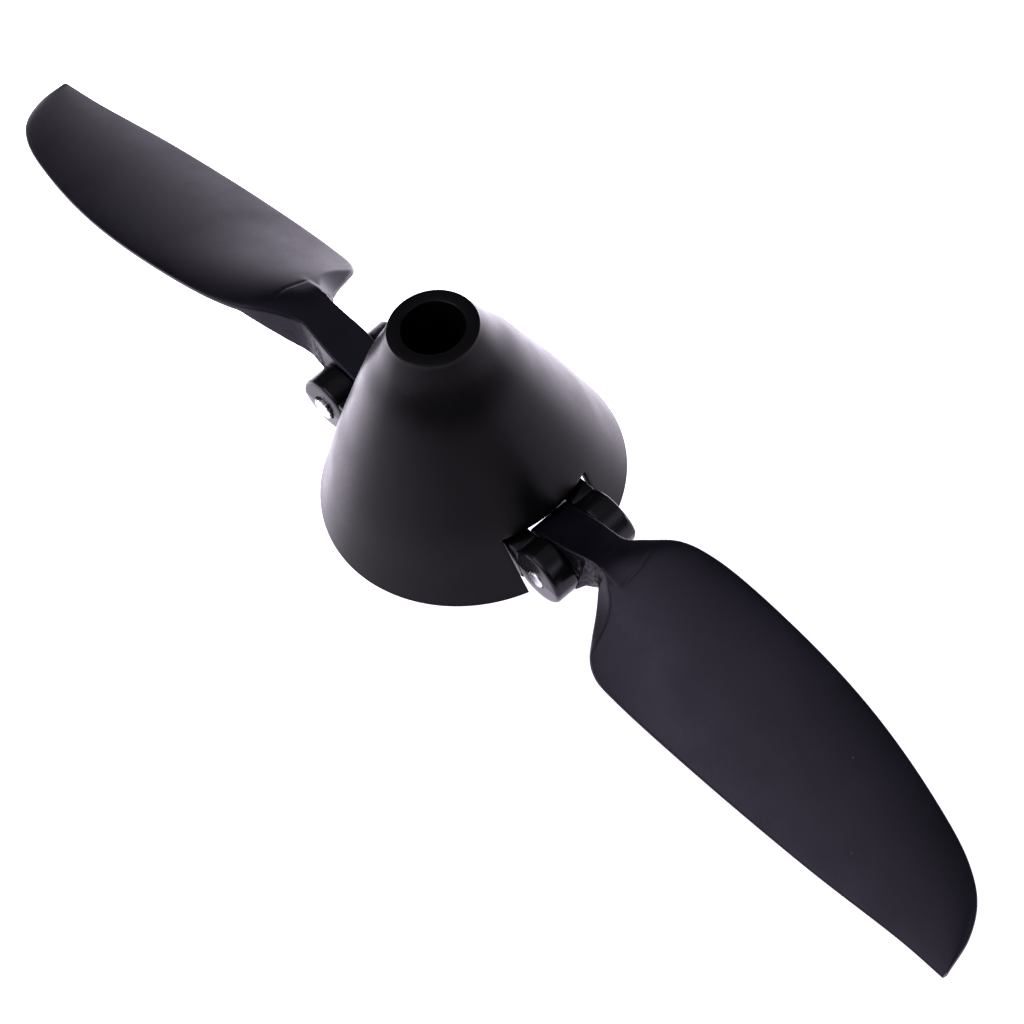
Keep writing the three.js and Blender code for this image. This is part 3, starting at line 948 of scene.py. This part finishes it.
def set_screw(name, angle):
    """Headless screw along +Y, with its socket outwards, turned to its side."""
    low, high = SET_SCREW_LOW[1], SET_SCREW_HIGH[1]
    made = screw_thread(name, low, high, axis="Y", centre=(0, 0, SET_SCREW_HEIGHT))
    socket = prism("socket", hexagon(SET_SCREW_SOCKET_FLATS), 0, 3)
    place = Vector((0, high - SOCKET_DEPTH, SET_SCREW_HEIGHT)) * MM
    turn(socket, "X", -90).data.transform(Matrix.Translation(place))
    cut(made, socket)
    shade(made, 30)
    return turn(made, "Z", angle)


# ---- materials -------------------------------------------------------------------------------


class Nodes:
    """Short forms for building a node tree."""

    def __init__(self, tree):
        self.tree = tree

    def add(self, kind, **settings):
        node = self.tree.nodes.new(kind)
        for key, value in settings.items():
            setattr(node, key, value)
        return node

    def link(self, source, target):
        self.tree.links.new(source, target)

    def math(self, operation, a, b):
        node = self.add("ShaderNodeMath", operation=operation)
        for socket, value in zip(node.inputs, (a, b)):
            if isinstance(value, (int, float)):
                socket.default_value = value
            else:
                self.link(value, socket)
        return node.outputs["Value"]

    def dot(self, vector, fixed):
        """How far a vector points along a fixed direction."""
        node = self.add("ShaderNodeVectorMath", operation="DOT_PRODUCT")
        self.link(vector, node.inputs[0])
        node.inputs[1].default_value = fixed
        return node.outputs["Value"]


class Finish(Nodes):
    """A node material, with its shader and the place on the object."""

    def __init__(self, name):
        self.material = bpy.data.materials.new(name)
        self.material.use_nodes = True
        super().__init__(self.material.node_tree)
        self.shader = self.tree.nodes["Principled BSDF"]
        self.place = self.add("ShaderNodeTexCoord").outputs["Object"]

    def stretched(self, scale):
        mapping = self.add("ShaderNodeMapping")
        self.link(self.place, mapping.inputs["Vector"])
        mapping.inputs["Scale"].default_value = scale
        return mapping.outputs["Vector"]

    def noise(self, size, detail=3.0, place=None):
        """Noise with features of a size in millimetres."""
        node = self.add("ShaderNodeTexNoise")
        self.link(place or self.place, node.inputs["Vector"])
        node.inputs["Scale"].default_value = 1 / (size * MM)
        node.inputs["Detail"].default_value = detail
        return node.outputs["Fac"]

    def cells(self, size):
        """Distance to the nearest of points scattered a size in millimetres apart."""
        node = self.add("ShaderNodeTexVoronoi")
        self.link(self.place, node.inputs["Vector"])
        node.inputs["Scale"].default_value = 1 / (size * MM)
        return node.outputs["Distance"]

    def ranged(self, value, low, high, to_low, to_high):
        node = self.add("ShaderNodeMapRange")
        self.link(value, node.inputs["Value"])
        for key, number in (("From Min", low), ("From Max", high), ("To Min", to_low),
                            ("To Max", to_high)):
            node.inputs[key].default_value = number
        return node.outputs["Result"]

    def blend(self, share, a, b):
        """A mix of two colours; the node's sockets for colours are inputs 6 and 7, output 2."""
        node = self.add("ShaderNodeMix", data_type="RGBA")
        self.link(share, node.inputs["Factor"])
        for socket, value in ((node.inputs[6], a), (node.inputs[7], b)):
            if isinstance(value, tuple):
                socket.default_value = (*value, 1)
            else:
                self.link(value, socket)
        return node.outputs[2]

    def bump(self, height, strength, distance, before=None):
        node = self.add("ShaderNodeBump")
        self.link(height, node.inputs["Height"])
        node.inputs["Strength"].default_value = strength
        node.inputs["Distance"].default_value = distance * MM
        if before is not None:
            self.link(before, node.inputs["Normal"])
        return node.outputs["Normal"]


DUST_COLOR = (0.16, 0.16, 0.17)


def moulded_plastic(name, color, roughness, grain, shine, tint):
    """Black moulded plastic: pebbled grain, uneven sheen, fine dust and hairline scuffs.

    tint colours what it reflects straight back.
    """
    n = Finish(name)
    cloud = n.noise(9, 4)
    fine = n.noise(0.22, 2)
    deeper = tuple(c * 0.75 for c in color)
    lighter = tuple(c * 1.35 for c in color)
    tone = n.blend(n.ranged(cloud, 0.35, 0.65, 0, 1), deeper, lighter)
    distance = n.cells(3.4)
    speck_size = n.ranged(n.noise(5, 1), 0.45, 0.7, 0.0, 0.035)
    specks = n.math("LESS_THAN", distance, speck_size)
    specks = n.math("MULTIPLY", specks, 0.5)
    n.link(n.blend(specks, tone, DUST_COLOR), n.shader.inputs["Base Color"])
    patch = n.ranged(n.noise(4.5, 5), 0.3, 0.7, roughness - 0.05, roughness + 0.06)
    pebble = n.ranged(fine, 0.3, 0.7, -0.03, 0.03)
    n.link(n.math("ADD", patch, pebble), n.shader.inputs["Roughness"])
    scuffs = n.noise(0.5, 2, n.stretched((0.05, 1.0, 0.3)))
    surface = n.bump(n.ranged(scuffs, 0.62, 0.72, 0, 1), 0.06, 0.01)
    surface = n.bump(fine, grain, 0.02, surface)
    n.link(n.bump(n.noise(1.6, 3), 0.05, 0.1, surface), n.shader.inputs["Normal"])
    n.shader.inputs["Specular IOR Level"].default_value = shine
    n.shader.inputs["Specular Tint"].default_value = (*tint, 1)
    return n.material


def turned_metal(name, color, roughness, stretch, marks_strength=0.12):
    """Machined metal with fine tool marks and faint stains."""
    n = Finish(name)
    marks = n.noise(0.12, 2, n.stretched(stretch))
    stain = n.noise(1.8, 4)
    darker = tuple(c * 0.86 for c in color)
    tone = n.blend(n.ranged(stain, 0.35, 0.7, 0, 1), color, darker)
    n.link(tone, n.shader.inputs["Base Color"])
    rough = n.ranged(marks, 0.3, 0.7, roughness - 0.07, roughness + 0.1)
    n.link(n.math("ADD", rough, n.ranged(stain, 0.4, 0.8, 0, 0.12)), n.shader.inputs["Roughness"])
    n.link(n.bump(marks, marks_strength, 0.01), n.shader.inputs["Normal"])
    n.shader.inputs["Metallic"].default_value = 1
    return n.material


def paint(made, material):
    made.data.materials.clear()
    made.data.materials.append(material)
    for polygon in made.data.polygons:
        polygon.material_index = 0


# ---- the assembly ----------------------------------------------------------------------------


def stand_in(made, body, node, material):
    """A finished piece: how it moves, which CAD node it stands for, and its finish."""
    paint(made, material)
    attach(made, body)
    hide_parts(node)


def build_propeller():
    spinner_look = moulded_plastic(
        "spinner_plastic", color=(0.0020, 0.0019, 0.0021), roughness=0.32, grain=0.2, shine=0.15,
        tint=(1.0, 0.95, 0.99),
    )
    yoke_look = moulded_plastic(
        "yoke_plastic", color=(0.0035, 0.0035, 0.0038), roughness=0.22, grain=0.12, shine=0.24,
        tint=(0.95, 0.94, 1.0),
    )
    blade_look = moulded_plastic(
        "blade_plastic", color=(0.0045, 0.0042, 0.0068), roughness=0.36, grain=0.2, shine=0.25,
        tint=(0.86, 0.81, 1.0),
    )
    pin_look = turned_metal("pin_steel", (0.86, 0.86, 0.86), 0.26, (1, 0.2, 1), 0.06)
    adapter_look = turned_metal("adapter_aluminium", (0.66, 0.67, 0.68), 0.3, (0.15, 0.15, 1))
    black_look = turned_metal("black_steel", (0.035, 0.035, 0.038), 0.38, (1, 1, 0.3))
    washer_look = turned_metal("washer_steel", (0.55, 0.55, 0.54), 0.3, (1, 1, 0.2))

    stand_in(spinner_shell(), "hub", "spinner_shell", spinner_look)
    stand_in(yoke(), "hub", "yoke", yoke_look)
    stand_in(shaft_adapter(), "hub", "shaft_adapter", adapter_look)
    stand_in(socket_head(), "hub", "retaining_screw", black_look)
    stand_in(washer(), "hub", "screw_washer", washer_look)
    for letter, angle, lug in (("a", 0, LUG_REACH), ("b", 180, 0)):
        stand_in(
            set_screw(f"grub_screw_{letter}", angle), "hub", f"set_screw_{letter}",
            black_look,
        )
        stand_in(
            hinge_pin(f"turned_pin_{letter}", angle), "hub", f"hinge_pin_{letter}",
            pin_look,
        )
        stand_in(
            blade(f"moulded_blade_{letter}", angle, lug), f"folding_blade_{letter}",
            f"blade_{letter}", blade_look,
        )


# ---- stage -----------------------------------------------------------------------------------

CAMERA_AIM = Vector((8.90, -1.75, 9.72)) * MM
CAMERA_DISTANCE = 714.7 * MM
CAMERA_AZIMUTH = -30.11
CAMERA_ELEVATION = 53.53
CAMERA_ROLL = -14.77
CAMERA_LENS = 247.9
SENSOR_WIDTH = 36

# Soft glows of the studio: azimuth and elevation in degrees, spread in degrees, brightness.
GLOWS = [
    (-110, 62, 30, 1.64),
    (85, 5, 22, 0.55),
    (135, 5, 22, 0.5),
    (70, 60, 20, 0.25),
    (20, 42, 13, 1.6),
    (30, 10, 20, 0.2),
]
ROOM_BRIGHTNESS = 0.01
STUDIO_TINT = (1.0, 0.93, 1.09)

# The area light: azimuth, elevation, brightness, and then its distance and size in metres.
KEY_LIGHT = (-102, 35, 1.75)
KEY_DISTANCE = 0.7
KEY_SIZE = 0.45

# Metres from the spin axis, away from the camera's side, and how bright the floor is there.
FLOOR_GLOW = [(-1.0, 0.3), (-0.25, 1.4), (0.03, 1.4), (0.1, 4.0), (0.14, 4.0), (0.3, 2.05)]

# How far the floor lies below the folded tips, in millimetres, and reaches out, in metres.
FLOOR_CLEARANCE = 6
FLOOR_REACH = 4.0


def direction(azimuth, elevation):
    """A unit vector from two angles in degrees; azimuth turns from +X to +Y."""
    a, e = math.radians(azimuth), math.radians(elevation)
    return Vector((math.cos(e) * math.cos(a), math.cos(e) * math.sin(a), math.sin(e)))


def camera():
    """A long lens above and to one side, rolled a little."""
    data = bpy.data.cameras.new("camera")
    data.lens = CAMERA_LENS
    data.sensor_width = SENSOR_WIDTH
    made = bpy.data.objects.new("camera", data)
    bpy.context.scene.collection.objects.link(made)
    back = direction(CAMERA_AZIMUTH, CAMERA_ELEVATION)
    right = Vector((0, 0, 1)).cross(back).normalized()
    up = back.cross(right)
    roll = math.radians(CAMERA_ROLL)
    c, s = math.cos(roll), math.sin(roll)
    axes = Matrix((right * c + up * s, up * c - right * s, back)).transposed()
    made.matrix_world = Matrix.Translation(CAMERA_AIM + back * CAMERA_DISTANCE) @ axes.to_4x4()
    bpy.context.scene.camera = made


def world():
    """A dark studio with soft glows, each fading smoothly round its direction."""
    made = bpy.data.worlds.new("studio")
    made.use_nodes = True
    n = Nodes(made.node_tree)
    background = n.tree.nodes["Background"]
    gaze = n.add("ShaderNodeTexCoord").outputs["Generated"]
    total = ROOM_BRIGHTNESS
    for azimuth, elevation, spread, brightness in GLOWS:
        toward = n.dot(gaze, direction(azimuth, elevation))
        sharpness = 1 / (1 - math.cos(math.radians(spread)))
        fall = n.math("MULTIPLY", n.math("SUBTRACT", toward, 1), sharpness)
        glow = n.math("MULTIPLY", n.math("EXPONENT", fall, 0), brightness)
        total = n.math("ADD", glow, total)
    n.link(total, background.inputs["Strength"])
    background.inputs["Color"].default_value = (*STUDIO_TINT, 1)
    bpy.context.scene.world = made


def floor():
    """A wide plain sheet below the folded blades, which gives off its own light."""
    reach = FLOOR_REACH
    mesh = bpy.data.meshes.new("floor")
    corners = [(-reach, -reach, 0), (reach, -reach, 0), (reach, reach, 0), (-reach, reach, 0)]
    mesh.from_pydata(corners, [], [(0, 1, 2, 3)])
    made = bpy.data.objects.new("floor", mesh)
    bpy.context.scene.collection.objects.link(made)
    made.location.z = (PIN_Z - BLADE_TIP - FLOOR_CLEARANCE) * MM
    n = Finish("floor")
    away = n.dot(n.place, -direction(CAMERA_AZIMUTH, 0))
    glow = FLOOR_GLOW[0][1]
    for (start, before), (end, after) in zip(FLOOR_GLOW, FLOOR_GLOW[1:]):
        glow = n.math("ADD", n.ranged(away, start, end, 0, after - before), glow)
    n.link(glow, n.shader.inputs["Emission Strength"])
    n.shader.inputs["Emission Color"].default_value = (*STUDIO_TINT, 1)
    n.shader.inputs["Base Color"].default_value = (0.05, 0.05, 0.05, 1)
    n.shader.inputs["Roughness"].default_value = 0.9
    n.shader.inputs["Specular IOR Level"].default_value = 0
    mesh.materials.append(n.material)


def key_light():
    """A soft square light that faces the propeller, as bright as a glow of that strength."""
    azimuth, elevation, brightness = KEY_LIGHT
    data = bpy.data.lights.new("key", "AREA")
    data.size = KEY_SIZE
    data.energy = brightness * math.pi * KEY_SIZE ** 2
    data.color = STUDIO_TINT
    made = bpy.data.objects.new("key", data)
    bpy.context.scene.collection.objects.link(made)
    made.location = CAMERA_AIM + direction(azimuth, elevation) * KEY_DISTANCE
    made.rotation_euler = direction(azimuth, elevation).to_track_quat("Z", "Y").to_euler()


camera()
world()
floor()
key_light()
bpy.context.scene.view_settings.view_transform = "Standard"
build_propeller()
